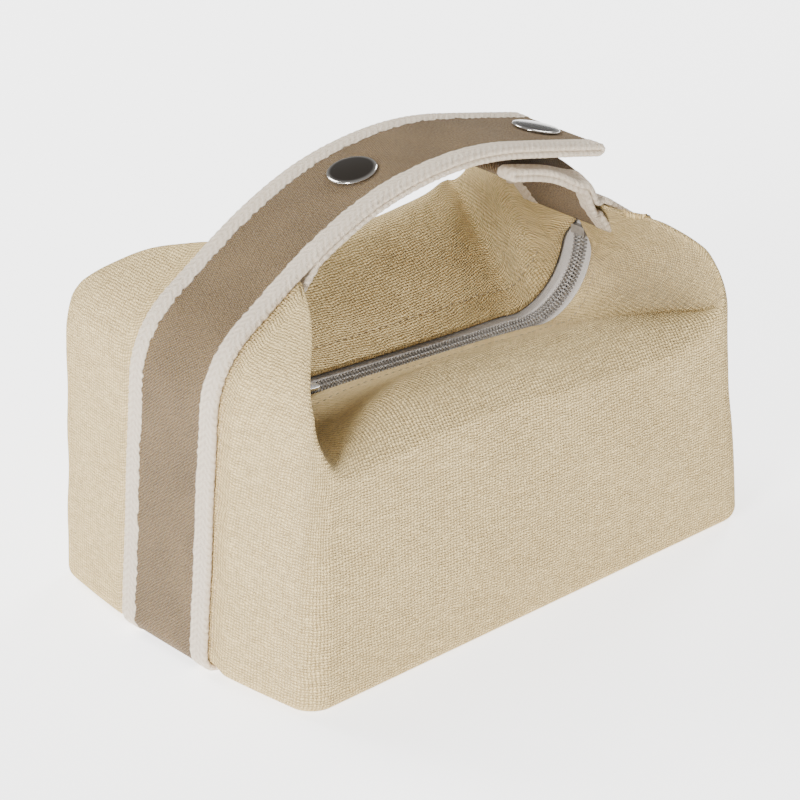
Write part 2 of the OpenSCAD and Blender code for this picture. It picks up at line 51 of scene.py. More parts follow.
# ----------------------------------------------
# Canvas walls
# Two pieces of coarse cream cotton canvas, front and back. Each is a long wall with half of both
# end walls, folded in along its top and sewn to the zip; they meet under the webbing at the ends.
# ----------------------------------------------
def placed(name, data):
    """A new object in the scene."""
    made = bpy.data.objects.new(name, data)
    bpy.context.scene.collection.objects.link(made)
    return made


def mesh_piece(name, points, faces, material, attributes=None, smooth=True):
    """A mesh object from points in millimetres and faces, with float attributes on its points."""
    mesh = bpy.data.meshes.new(name)
    mesh.from_pydata((np.asarray(points) * MM).tolist(), [], [list(map(int, f)) for f in faces])
    mesh.materials.append(material)
    mesh.polygons.foreach_set("use_smooth", [smooth] * len(mesh.polygons))
    for key, values in (attributes or {}).items():
        layer = mesh.attributes.new(key, "FLOAT", "POINT")
        layer.data.foreach_set("value", np.asarray(values, dtype=np.float32).ravel())
    mesh.update()
    return placed(name, mesh)


class Wire:
    """A shader socket that does sums: each operator adds the math node that it stands for."""

    def __init__(self, tree, socket):
        self.tree, self.socket = tree, socket

    def node(self, kind, settings=None, **inputs):
        """Adds a node; an input is called by its name, or by i and its number."""
        made = self.tree.nodes.new(kind)
        for key, value in (settings or {}).items():
            setattr(made, key, value)
        for key, value in inputs.items():
            name = int(key[1:]) if key[0] == "i" and key[1:].isdigit() else key.replace("_", " ")
            if isinstance(value, Wire):
                self.tree.links.new(value.socket, made.inputs[name])
            else:
                made.inputs[name].default_value = value
        return made

    def math(self, operation, *values):
        """Adds a math node."""
        made = self.node("ShaderNodeMath", {"operation": operation},
                         **{f"i{i}": v for i, v in enumerate(values)})
        return Wire(self.tree, made.outputs[0])

    def __add__(self, other): return self.math("ADD", self, other)
    def __radd__(self, other): return self.math("ADD", other, self)
    def __sub__(self, other): return self.math("SUBTRACT", self, other)
    def __rsub__(self, other): return self.math("SUBTRACT", other, self)
    def __mul__(self, other): return self.math("MULTIPLY", self, other)
    def __rmul__(self, other): return self.math("MULTIPLY", other, self)
    def __truediv__(self, other): return self.math("DIVIDE", self, other)
    def floor(self): return self.math("FLOOR", self)
    def fract(self): return self.math("FRACT", self)
    def sin(self): return self.math("SINE", self)
    def cos(self): return self.math("COSINE", self)
    def abs(self): return self.math("ABSOLUTE", self)
    def max(self, other): return self.math("MAXIMUM", self, other)

    def ramp(self, low, high):
        """0 below low, 1 above high and smooth between."""
        made = self.node("ShaderNodeMapRange", {"interpolation_type": "SMOOTHSTEP"},
                         Value=self, From_Min=low, From_Max=high)
        return Wire(self.tree, made.outputs[0])

    def colours(self, first, second):
        """Colour mix: first where this is 0, second where it is 1."""
        made = self.node("ShaderNodeMix", {"data_type": "RGBA"}, i0=self, i6=first, i7=second)
        return Wire(self.tree, made.outputs[2])


def new_material(name, **constants):
    """A Principled material; returns it, its shader and a Wire to start sums from."""
    material = bpy.data.materials.new(name)
    material.use_nodes = True
    shader = material.node_tree.nodes["Principled BSDF"]
    for key, value in constants.items():
        shader.inputs[key.replace("_", " ")].default_value = value
    return material, shader, Wire(material.node_tree, None)


def attribute(start, name):
    """A float attribute of the mesh."""
    made = start.node("ShaderNodeAttribute", {"attribute_name": name})
    return Wire(start.tree, made.outputs["Fac"])


def vec(start, x, y, z):
    """A vector from three sums."""
    made = start.node("ShaderNodeCombineXYZ", None, X=x, Y=y, Z=z)
    return Wire(start.tree, made.outputs[0])


def noise(start, scale, detail=2.0, rough=0.5, vector=None):
    """Fractal noise on object coordinates in metres, or on a given vector."""
    where = vector or Wire(start.tree, start.node("ShaderNodeTexCoord").outputs["Object"])
    made = start.node("ShaderNodeTexNoise", None, Vector=where, Scale=scale, Detail=detail,
                      Roughness=rough)
    return Wire(start.tree, made.outputs["Fac"])


def link_to(value, shader, name="Base Color"):
    """Feeds a sum into a socket of the shader."""
    value.tree.links.new(value.socket, shader.inputs[name])


def bump(height, distance, shader):
    """Relief of the given height, where 1 stands for distance in metres."""
    made = height.node("ShaderNodeBump", None, Height=height, Distance=distance, Strength=1.0)
    height.tree.links.new(made.outputs["Normal"], shader.inputs["Normal"])


def woven(a, b):
    """Height of a plain weave: warp and weft ridges that pass over each other in turn."""
    warp = (a.fract() * math.pi).sin() * (0.5 + 0.5 * ((b + a.floor() - 0.5) * math.pi).cos())
    weft = (b.fract() * math.pi).sin() * (0.5 - 0.5 * ((a + b.floor() - 0.5) * math.pi).cos())
    return warp.max(weft)


def speck(start, a, b, salt=0.0):
    """A random number from 0 to 1 for each cell of a grid."""
    cell = vec(start, (a + salt).floor(), (b + salt).floor(), salt)
    return Wire(start.tree, start.node("ShaderNodeTexWhiteNoise", None, Vector=cell).outputs["Value"])


def cloth_material(name, light, dark_yarn_and_hole_shade, pitch, depth):
    """Woven cloth: uneven yarns, pale on the crowns of the weave and dark in its holes as painted shade."""
    material, shader, start = new_material(name, Roughness=0.95, Sheen_Weight=0.12,
                                           Sheen_Roughness=0.6, Specular_IOR_Level=0.12)
    u, v = attribute(start, "along"), attribute(start, "up")
    here = vec(start, u, v, 0.0)
    wander = noise(start, 75.0, 3.0, vector=here)
    swell = noise(start, 240.0, 2.0, vector=here)
    a = (u + (wander - 0.5) * pitch * 2.2) / (pitch * 1.1)
    b = (v + (swell - 0.5) * pitch * 1.5) / (pitch * 0.9)
    height = woven(a, b)
    yarn = 0.5 * (speck(start, a, b) + speck(start, a, b, 0.5))
    slub = noise(start, 1.0, 1.0, vector=vec(start, a * 0.12, b.floor() * 3.3, 5.0))
    mottle = noise(start, 26.0, 3.0)
    lint = noise(start, 1900.0, 2.0)
    # painted shade: the weave's height colours its holes darker than its crowns; yarn, slub, mottle and
    # lint are the cloth's own uneven colour
    tone = (height.ramp(0.25, 0.95) * 0.62 + 0.50 * (yarn - 0.5) + 0.45 * (slub - 0.5)
            + 0.30 * (mottle - 0.5) + 0.25 * (lint - 0.5) + 0.22)
    link_to(tone.ramp(-0.15, 1.05).colours(dark_yarn_and_hole_shade, light), shader)
    bump(height + 0.5 * yarn + 0.5 * slub + 0.3 * lint, depth, shader)
    return material


CANVAS_PITCH = 1.08 * MM
canvas = cloth_material("cream_canvas", (0.99, 0.75, 0.355, 1), (0.57, 0.395, 0.16, 1),
                        CANVAS_PITCH, 0.00095)

# Sizes in millimetres: the ends are 0 left and 1 right, the sides -1 front and 1 back
HALF_L, HALF_W, END_BOW = 93.0, 60.5, 5.0
END_HALF = HALF_L + END_BOW
HALF_STRAP, LIFT, FOOT_R = 20.0, 2.0, 4.0
CORNER_R, TOP_CORNER_R = 8.0, 5.0
SIDE, HALVES = (-1, 1), ((-1, "front"), (1, "back"))
SHOULDER_Z, LEAN, SLOPE = (97.0, 89.5), (4.8, 6.5), (32.0, 35.0)
PEAK_RUN, SHOULDER_R, BOW_LOSS = (32.0, 23.0), 30.0, (0.4, -0.5)
CORNER_Z = {-1: (84.0, 87.0), 1: (92.5, 88.0)}
PUFF = (0.8, 3.6)
ZIP_X, ZIP_Z, ZIP_TURN, ZIP_DROP = 76.0, (68.0, 61.5), 24.0, 14.0
ARC_N = 40
# By side: how far the long fold leans in, its radius at the ends and the gain in its middle,
# and half the gap of the canvas over the zip
FOLD_IN, FOLD_R, FOLD_GAIN = 9.0, 2.6, {-1: 14.0, 1: 6.5}
MID_LIP, END_LIP, LIP_RISE = {-1: 4.6, 1: 6.4}, 6.6, 1.9
BELLY, SAG = 1.6, 1.6
FOOT_ROWS, WALL_ROWS, FOLD_ROWS, SLOPE_ROWS = 6, 70, 17, 51
CANVAS_T = 1.3


def tand(a): return math.tan(math.radians(a))
def sind(a): return np.sin(np.radians(a))
def cosd(a): return np.cos(np.radians(a))


SHOULDER_X = [END_HALF - (SHOULDER_Z[e] - FOOT_R) * tand(LEAN[e]) for e in (0, 1)]
PEAK = [(SHOULDER_X[e] - PEAK_RUN[e], SHOULDER_Z[e] + PEAK_RUN[e] * tand(SLOPE[e])) for e in (0, 1)]
ZIP_TOP = [PEAK[e][1] - ZIP_DROP for e in (0, 1)]
REACH = [SHOULDER_R * tand((90 - SLOPE[e] - LEAN[e]) / 2) for e in (0, 1)]
TURN_START = [(SHOULDER_X[e] + REACH[e] * sind(LEAN[e]), SHOULDER_Z[e] - REACH[e] * cosd(LEAN[e]))
              for e in (0, 1)]
TURN_END = [(SHOULDER_X[e] - REACH[e] * cosd(SLOPE[e]), SHOULDER_Z[e] + REACH[e] * sind(SLOPE[e]))
            for e in (0, 1)]
TURN_MID = [(TURN_START[e][0] - SHOULDER_R * cosd(LEAN[e]),
             TURN_START[e][1] - SHOULDER_R * sind(LEAN[e])) for e in (0, 1)]


def smooth(t):
    """0 below 0, 1 above 1 and an even S between."""
    t = np.clip(t, 0, 1)
    return t * t * (3 - 2 * t)


def unit(p):
    """Vectors brought to a length of one."""
    return p / np.maximum(np.linalg.norm(p, axis=-1, keepdims=True), 1e-9)


def pick(e, pair):
    """The left or the right value for each column."""
    return np.where(e == 0, pair[0], pair[1])


def end_x(e, z):
    """Reach of an end wall at height z: a leaning line, an arc at the shoulder, then a slope."""
    wall = END_HALF - (z - FOOT_R) * tand(LEAN[e])
    arc = TURN_MID[e][0] + np.sqrt(np.maximum(SHOULDER_R**2 - (z - TURN_MID[e][1])**2, 0))
    slope = SHOULDER_X[e] - (z - SHOULDER_Z[e]) / tand(SLOPE[e])
    return np.where(z <= TURN_START[e][1], wall, np.where(z <= TURN_END[e][1], arc, slope))


def past_strap(y):
    """0 under the webbing and 1 at the corner of the case."""
    return np.clip((np.abs(y) - HALF_STRAP) / (HALF_W - HALF_STRAP), 0, 1)


def bow(e, z):
    """How far the middle of an end stands out past its corners at height z."""
    return END_BOW * (1 - BOW_LOSS[e] * np.minimum(1, z / SHOULDER_Z[e]))


def ridge_height(f, share):
    """Height of the long fold: falls to the right; the front dips fast at its left foot."""
    if f < 0:
        left = 23 * np.clip(-share, 0, 1)**2.5
        right = 3 * np.clip(share, 0, 1)**2.5
        return 91 - 9 * share - left - right
    return 91.2 - 0.6 * share


def zip_line():
    """The zip's line in the X-Z plane: down the left end, round, along, round and up the right."""
    fall = math.atan2(ZIP_Z[0] - ZIP_Z[1], 2 * (ZIP_X - ZIP_TURN))
    turns = [(SIDE[e] * (ZIP_X - ZIP_TURN) + ZIP_TURN * math.cos(a),
              ZIP_Z[e] + ZIP_TURN + ZIP_TURN * math.sin(a))
             for e, a0, a1 in ((0, math.pi, 1.5 * math.pi - fall), (1, -0.5 * math.pi - fall, 0))
             for a in np.linspace(a0, a1, ARC_N)]
    return np.array([(-ZIP_X, ZIP_TOP[0])] + turns + [(ZIP_X, ZIP_TOP[1])])


def lengths(p):
    """Distance of each point of a line from its first, along the line."""
    return np.concatenate([[0], np.cumsum(np.linalg.norm(np.diff(p, axis=0), axis=1))])


def along_line(at, s, p):
    """Points at distances at of the line p, whose own points are at distances s."""
    return np.stack([np.interp(at, s, p[:, k]) for k in range(p.shape[1])], -1)


ZIP = zip_line()
ZIP_AT = lengths(ZIP)
ZIP_LEN = ZIP_AT[-1]
FLAT_FROM, FLAT_TO = ZIP_AT[ARC_N], ZIP_AT[ARC_N + 1]


def on_zip(d):
    """Points and upward normals of the zip's line at distances d."""
    d = np.clip(d, 0, ZIP_LEN)
    a, b = (along_line(np.clip(d + step, 0, ZIP_LEN), ZIP_AT, ZIP) for step in (-2, 2))
    t = unit(b - a)
    return along_line(d, ZIP_AT, ZIP), np.stack([-t[..., 1], t[..., 0]], -1)


def stations(n_end=64, n_corner=16, n_wall=170):
    """Columns of a half: (kind, end, y or angle or share) from the left seam to the right seam.

    Kind 0 is an end (y), kind 1 a corner (angle) and kind 2 the long wall (share, -1 to 1).
    """
    ys = np.linspace(0.1, HALF_W - CORNER_R, n_end)
    angles = np.linspace(0, 90, n_corner + 1)[1:]
    shares = np.linspace(-1, 1, n_wall + 1)[1:-1]
    kind = np.repeat([0, 1, 2, 1, 0], [n_end, n_corner, n_wall - 1, n_corner, n_end])
    end = np.concatenate([np.zeros(n_end + n_corner), shares > 0, np.ones(n_corner + n_end)]).astype(int)
    value = np.concatenate([ys, angles, shares, angles[::-1], ys[::-1]])
    return kind, end, value


def across_end(v, r):
    """Distance from the middle of an end for a column v, where the corner has radius r."""
    free = (v - HALF_STRAP) * (HALF_W - r - HALF_STRAP) / (HALF_W - CORNER_R - HALF_STRAP)
    return np.where(v <= HALF_STRAP, v, HALF_STRAP + free)


def wall_point(k, e, v, z, r, f):
    """Point of the wall in each column at height z for corner radius r (arrays of one shape)."""
    y = np.where(k == 0, across_end(v, r), np.where(k == 1, HALF_W - r + r * sind(v), HALF_W))
    ex, bw = pick(e, (end_x(0, z), end_x(1, z))), pick(e, (bow(0, z), bow(1, z)))
    x_end = ex - bw * past_strap(y)**1.3 - np.where(k == 1, r * (1 - cosd(v)), 0)
    x = np.where(k == 2, v * (ex - bw - r), pick(e, SIDE) * x_end)
    return np.stack([x, f * y, z], -1)


def foot_line(k, e, v, f):
    """The wall's foot: height of the floor under it, its points and the way inwards."""
    low = np.where(k == 0, LIFT * (1 - smooth((v - HALF_STRAP - 0.5) / 5)), 0.0)
    foot = wall_point(k, e, v, low + FOOT_R, np.full(len(k), CORNER_R), f)
    inward = np.stack([-pick(e, SIDE) * np.where(k == 2, 0, np.where(k == 1, cosd(v), 1)),
                       -f * np.where(k == 0, 0, np.where(k == 1, sind(v), 1)), np.zeros(len(k))], -1)
    return low, foot, inward


def blur(values):
    """Softens the changes between the ends and the long walls."""
    kernel = np.hanning(17)
    return np.convolve(np.pad(values, 8, mode="edge"), kernel / kernel.sum(), mode="valid")


def half_shell(f):
    """Rows of points of a half: foot arc, wall, rounded fold and slope down to the zip."""
    k, e, v = stations()
    n = len(k)
    top_r = np.full(n, TOP_CORNER_R)
    middle = 1 - v**4
    # fold
    p = past_strap(np.where(k == 0, across_end(v, TOP_CORNER_R), HALF_W - TOP_CORNER_R * (1 - sind(v))))
    peak = pick(e, (PEAK[0][1], PEAK[1][1]))
    ear = peak - (peak - pick(e, CORNER_Z[f])) * (0.5 * p + 0.5 * p**4)
    ridge = ridge_height(f, np.where(k == 2, v, pick(e, SIDE)))
    turn = np.where(k == 1, (v / 90)**2, 0)
    fold_z = blur(np.where(k == 2, ridge, ear + (np.minimum(ear, ridge) - ear) * turn))
    fold = wall_point(k, e, v, fold_z, top_r, f)
    fold[:, 1] -= f * np.where(k == 2, FOLD_IN * middle, 0)
    fold_r = np.where(k == 2, FOLD_R + FOLD_GAIN[f] * middle, FOLD_R)
    # the ends swell on both sides of the webbing that holds their middle in
    out = np.abs(fold[:, 1])
    swell = np.where(k < 2, pick(e, PUFF), 0) * smooth((out - 20) / 19) * (1 - smooth((out - 50) / 11))
    lean = pick(e, SLOPE)
    swell = swell[:, None] * np.stack([pick(e, SIDE) * sind(lean), np.zeros(n), cosd(lean)], -1)
    fold = fold + swell
    # mouth
    d_end = np.where(k == 0, 0.8 * v / (HALF_W - CORNER_R), 0.8 + 0.2 * v / 90)
    d = np.where(k == 2, FLAT_FROM + (FLAT_TO - FLAT_FROM) * (v + 1) / 2,
                 pick(e, (d_end * FLAT_FROM, ZIP_LEN - d_end * (ZIP_LEN - FLAT_TO))))
    on, up = on_zip(d)
    lip = np.where(k == 2, MID_LIP[f] + 1.2 * np.abs(v)**3, END_LIP)
    lip = np.where(k == 0, END_LIP * np.sin(0.5 * np.pi * np.minimum(1, v / 14)), lip)
    lip = blur(np.maximum(lip, 0.12))
    mouth = np.stack([on[:, 0] + LIP_RISE * up[:, 0], f * lip, on[:, 1] + LIP_RISE * up[:, 1]], -1)
    # ends of the rounded part
    z_top = fold_z - fold_r
    base_top = wall_point(k, e, v, z_top, top_r, f)
    top = base_top.copy()
    top[:, 1] = base_top[:, 1] + (fold[:, 1] - base_top[:, 1]) * np.where(k == 2, 0.12, 0.5)
    top = top + swell
    start = fold + unit(mouth - fold) * fold_r[:, None]
    low, foot, inward = foot_line(k, e, v, f)
    z0 = low + FOOT_R
    rows = []
    for a in np.linspace(12, 90, FOOT_ROWS + 1)[:-1]:
        q = foot + inward * FOOT_R * (1 - sind(a))
        q[:, 2] = low + FOOT_R * (1 - cosd(a))
        rows.append(q)
    for t in np.linspace(0, 1, WALL_ROWS):
        r = np.full(n, CORNER_R + (TOP_CORNER_R - CORNER_R) * t)
        q = wall_point(k, e, v, z0 + (z_top - z0) * t, r, f) + (top - base_top) * t**3
        # the filled bag pushes its long walls out a little
        belly = BELLY * np.sin(np.pi * min(1, t * 0.9 + 0.02))
        q[:, 1] += f * np.where(k == 2, belly * (1 - v**2), 0)
        rows.append(q)
    for t in np.linspace(0, 1, FOLD_ROWS + 1)[1:]:
        ab = top + (fold - top) * t
        bc = fold + (start - fold) * t
        rows.append(ab + (bc - ab) * t)
    for t in np.linspace(0, 1, SLOPE_ROWS + 1)[1:]:
        q = start + (mouth - start) * t
        # the cloth sags between the fold and the zip along the long sides
        q[:, 2] += np.sin(np.pi * t) * np.where(k == 2, -SAG * (1 - v**2), 0.0)
        rows.append(q)
    return np.stack(rows, 1), (k, e, v)


def grid_normals(P):
    """Unit normals of a grid of points from central differences along both directions."""
    return unit(np.cross(np.gradient(P, axis=0), np.gradient(P, axis=1)))


def thick_grid(P, normal, t):
    """Closed sheet of thickness t: the grid, a copy of it sunk by t, and a rim round both."""
    n, m = P.shape[:2]
    points = np.concatenate([P.reshape(-1, 3), (P - normal * t).reshape(-1, 3)])
    i, j = np.meshgrid(np.arange(n - 1), np.arange(m - 1), indexing="ij")
    a = (i * m + j).ravel()
    quads = np.stack([a, a + m, a + m + 1, a + 1], 1)
    back = quads[:, ::-1] + n * m
    ring = np.concatenate([np.arange(n) * m, (n - 1) * m + np.arange(1, m),
                           np.arange(n - 2, -1, -1) * m + m - 1, np.arange(m - 2, 0, -1)])
    nxt = np.roll(ring, -1)
    rim = np.stack([ring, ring + n * m, nxt + n * m, nxt], 1)
    faces = np.concatenate([quads, back, rim])
    # the order of the faces follows the side that the normal points to
    k = quads[len(quads) // 2]
    turned = np.cross(points[k[1]] - points[k[0]], points[k[2]] - points[k[0]])
    if turned @ normal.reshape(-1, 3)[k[0]] < 0:
        faces = faces[:, ::-1]
    return points, faces


def weave_lengths(P):
    """Distances along each row from its middle column, and up each column from its first row."""
    step = np.linalg.norm(np.diff(P, axis=0), axis=-1)
    along = np.concatenate([np.zeros((1, P.shape[1])), np.cumsum(step, axis=0)])
    along -= along[P.shape[0] // 2]
    step = np.linalg.norm(np.diff(P, axis=1), axis=-1)
    up = np.concatenate([np.zeros((P.shape[0], 1)), np.cumsum(step, axis=1)], 1)
    return along * MM, up * MM


def ripple(P, normal, size, seed):
    """Soft unevenness of cloth: a sum of sine waves in space, along the normal."""
    waves, low, high = 14, 0.012, 0.05
    rng = np.random.default_rng(seed)
    total = np.zeros(P.shape[:2])
    for _ in range(waves):
        direction = rng.normal(size=3)
        direction /= np.linalg.norm(direction)
        wave = rng.uniform(low, high) * 2 * np.pi
        total += np.sin(P @ direction * wave + rng.uniform(0, 2 * np.pi)) * (low / wave * 6.0)**0.5
    return P + normal * (size * total / np.sqrt(waves))[..., None]


def outward(P, f):
    """Grid normals turned to point away from the bag's middle on the walls."""
    normal = grid_normals(P)
    column, row = P.shape[0] // 2, 20
    if normal[column, row] @ np.array([0, f, 0]) < 0:
        normal = -normal
    return normal


def cloth_piece(name, P, normal, thickness, material, along, up):
    """A sheet of cloth whose two faces both carry the distances along the two yarns."""
    points, faces = thick_grid(P, normal, thickness)
    return mesh_piece(name, points, faces, material,
                      {"along": np.tile(np.ravel(along), 2), "up": np.tile(np.ravel(up), 2)})


canvas_grid = {}
for f, half in HALVES:
    P, columns = half_shell(f)
    m = P.shape[1]
    uneven = ripple(P, outward(P, f), 0.55, 5 + f)
    fade = smooth((np.arange(m) - 4) / 14) * smooth((m - 1 - np.arange(m)) / 10)
    quiet = np.where(columns[0] == 0, smooth((columns[2] - 18) / 10), 1.0)
    P = P + (uneven - P) * (fade[None, :] * quiet[:, None])[..., None]
    normal = outward(P, f)
    canvas_grid[f] = (P, normal, columns)
    piece = cloth_piece(half + "_canvas_cloth", P, normal, CANVAS_T, canvas, *weave_lengths(P))
    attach(piece, "bag")
    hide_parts(half + "_canvas")


# ----------------------------------------------
# Base
# A flat panel of the same canvas sewn in along the lower edge of the walls, over a stiff board
# that keeps the floor flat; the webbing crosses under it.
# ----------------------------------------------
def base_panel(n=40):
    """Rings from the middle out to the foot of the walls, dished up over the webbing."""
    edge = []
    for f in (-1, 1):
        k, e, v = stations(24, 8, 60)
        low, foot, inward = foot_line(k, e, v, f)
        foot += inward * FOOT_R * 0.85
        foot[:, 2] = low + 0.15
        edge.append(foot if f < 0 else foot[::-1])
    edge = np.concatenate(edge)
    rings = []
    for t in np.linspace(0.02, 1, n):
        q = edge * t
        q[:, 2] = edge[:, 2] + (LIFT - edge[:, 2]) * (1 - smooth((t - 0.9) / 0.1))
        rings.append(q)
    P = np.stack(rings, 1)
    return np.concatenate([P, P[:1]])


P = base_panel()
down = np.zeros_like(P)
down[..., 2] = -1
base_material = cloth_material("base_canvas", (0.92, 0.74, 0.45, 1), (0.36, 0.25, 0.12, 1),
                               CANVAS_PITCH, 0.00040)
base_cloth = cloth_piece("base_canvas_cloth", P, down, CANVAS_T, base_material,
                         P[..., 0] * MM, P[..., 1] * MM)
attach(base_cloth, "bag")
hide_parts("base_canvas")

board_material, board_shader, start = new_material("grey_board", Roughness=0.85)
fibre = noise(start, 900.0, 4.0)
link_to(fibre.ramp(0.3, 0.75).colours((0.30, 0.27, 0.23, 1), (0.42, 0.38, 0.32, 1)),
        board_shader)
bump(fibre, 0.0001, board_shader)


def paint(node, material):
    """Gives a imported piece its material."""
    piece = bpy.data.objects[node]
    piece.data.materials.clear()
    piece.data.materials.append(material)


paint("base_board", board_material)


# ----------------------------------------------
# Lining
# A thin ivory cotton lining, hung from the zip's seams inside both halves, with a flat bottom
# over the board.
# ----------------------------------------------
lining_material = cloth_material("ivory_lining", (0.82, 0.76, 0.64, 1), (0.62, 0.55, 0.42, 1),
                                 0.45 * MM, 0.00006)
LINING_DEPTH, LINING_T, LINING_TOP = 3.7, 0.4, 62
for f, half in HALVES:
    P, _ = half_shell(f)
    normal = outward(P, f)
    P = (P - normal * LINING_DEPTH)[::2, FOOT_ROWS:LINING_TOP:2]
    normal = normal[::2, FOOT_ROWS:LINING_TOP:2]
    P = ripple(P, normal, 0.25, 31 + f)
    piece = cloth_piece(half + "_lining_cloth", P, normal, LINING_T, lining_material,
                        *weave_lengths(P))
    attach(piece, "bag")
    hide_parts(half + "_lining")

BOTTOM_L, BOTTOM_W, BOTTOM_R, BOTTOM_Z = 86.5, 54.0, 7.0, 6.1
gx, gy = np.meshgrid(np.linspace(-1, 1, 90) * BOTTOM_L, np.linspace(-1, 1, 60) * BOTTOM_W, indexing="ij")
past_x, past_y = np.abs(gx) - (BOTTOM_L - BOTTOM_R), np.abs(gy) - (BOTTOM_W - BOTTOM_R)
shrink = np.clip(np.hypot(np.maximum(past_x, 0), np.maximum(past_y, 0)) / BOTTOM_R, 1, 2)
gx = np.where(past_x > 0, np.sign(gx) * (BOTTOM_L - BOTTOM_R + past_x / shrink), gx)
gy = np.where(past_y > 0, np.sign(gy) * (BOTTOM_W - BOTTOM_R + past_y / shrink), gy)
P = np.stack([gx, gy, BOTTOM_Z + 0.12 * np.sin(gx / 9.0) * np.cos(gy / 11.0)], -1)
above = np.zeros_like(P)
above[..., 2] = 1
bottom_lining = cloth_piece("base_lining_cloth", P, above, LINING_T, lining_material, gx * MM, gy * MM)
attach(bottom_lining, "bag")
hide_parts("base_lining")


# ----------------------------------------------
# Webbing
# Cotton webbing 40 mm wide with a ribbed taupe middle and off-white knitted borders. It runs
# under the base and up both ends. Past the peaks it is doubled back on itself: the long strap
# arches over the bag as the handle, and the short strap reaches in under its tail.
# ----------------------------------------------
WEB_T, WEB_HALF, BORDER = 1.8, 20.0, 6.8
DOUBLED = 2 * WEB_T + 0.4
HANDLE_R, TAIL_SLOPE, TAIL_L, SNAP_GAP = 117.0, 13.5, 34.0, 3.4
SHORT_LAP, CAP_INSET, PAST_STUD, JOINT_GAP, NEAR_BACK = 36.0, 10.0, 5.6, 0.6, 26.0


def arc_points(middle, r, a0, a1, step=1.0):
    """Points about a step apart on an arc from angle a0 to a1."""
    n = max(3, int(abs(math.radians(a1 - a0)) * r / step))
    a = np.radians(np.linspace(a0, a1, n))
    return np.stack([middle[0] + r * np.cos(a), middle[1] + r * np.sin(a)], -1)

def outline(e):
    """The canvas's outer line at an end, from the foot up to the peak, x outwards."""
    foot = arc_points((END_HALF - FOOT_R, LIFT + FOOT_R), FOOT_R, -90, 0, 0.5)
    turn = arc_points(TURN_MID[e], SHOULDER_R, LEAN[e], 90 - SLOPE[e])
    return np.concatenate([[(70.0, LIFT)], foot, turn, [PEAK[e]]])


def resample(p, step):
    """The same line with points about a step apart."""
    p = np.asarray(p, float)
    p = p[np.concatenate([[True], np.linalg.norm(np.diff(p, axis=0), axis=1) > 1e-6])]
    s = lengths(p)
    return along_line(np.linspace(0, s[-1], max(8, int(s[-1] / step))), s, p)


def normals_2d(p):
    """Normals to the left of a line in the X-Z plane."""
    t = unit(np.gradient(p, axis=0))
    return np.stack([-t[:, 1], t[:, 0]], -1)


def offset(p, d):
    """The line moved to its left by d."""
    p = resample(p, 0.6)
    return p + normals_2d(p) * d


def over(e): return np.array([sind(SLOPE[e]), cosd(SLOPE[e])])
def rise(e): return np.array([-cosd(SLOPE[e]), sind(SLOPE[e])])


# Outer faces of both straps in the X-Z plane; MIRROR turns left-end sizes into places
MIRROR = (-1, 1)
handle_foot = (np.array(PEAK[0]) + JOINT_GAP * rise(0) + LIFT * over(0)) * MIRROR
handle_mid = handle_foot - HANDLE_R * over(0) * MIRROR
tail_dir = np.array([cosd(TAIL_SLOPE), -sind(TAIL_SLOPE)])
tail_up = np.array([sind(TAIL_SLOPE), cosd(TAIL_SLOPE)])
tail_end = handle_mid + HANDLE_R * tail_up + TAIL_L * tail_dir
arch_top = np.concatenate([arc_points(handle_mid, HANDLE_R, 90 + SLOPE[0], 90 - TAIL_SLOPE), [tail_end]])
short_drop = DOUBLED + SNAP_GAP
short_tip = tail_end - SHORT_LAP * tail_dir - short_drop * tail_up
short_bend = tail_end - (CAP_INSET - PAST_STUD) * tail_dir - short_drop * tail_up
short_foot = np.array(PEAK[1]) + JOINT_GAP * rise(1) + LIFT * over(1)
pull = np.linalg.norm(short_foot - short_bend) / 3
t = np.linspace(0, 1, 30)[:, None]
curve = ((1 - t)**3 * short_bend + 3 * t * (1 - t)**2 * (short_bend + pull * tail_dir)
         + 3 * t**2 * (1 - t) * (short_foot + pull * rise(1)) + t**3 * short_foot)
short_top = np.concatenate([[short_tip], curve])


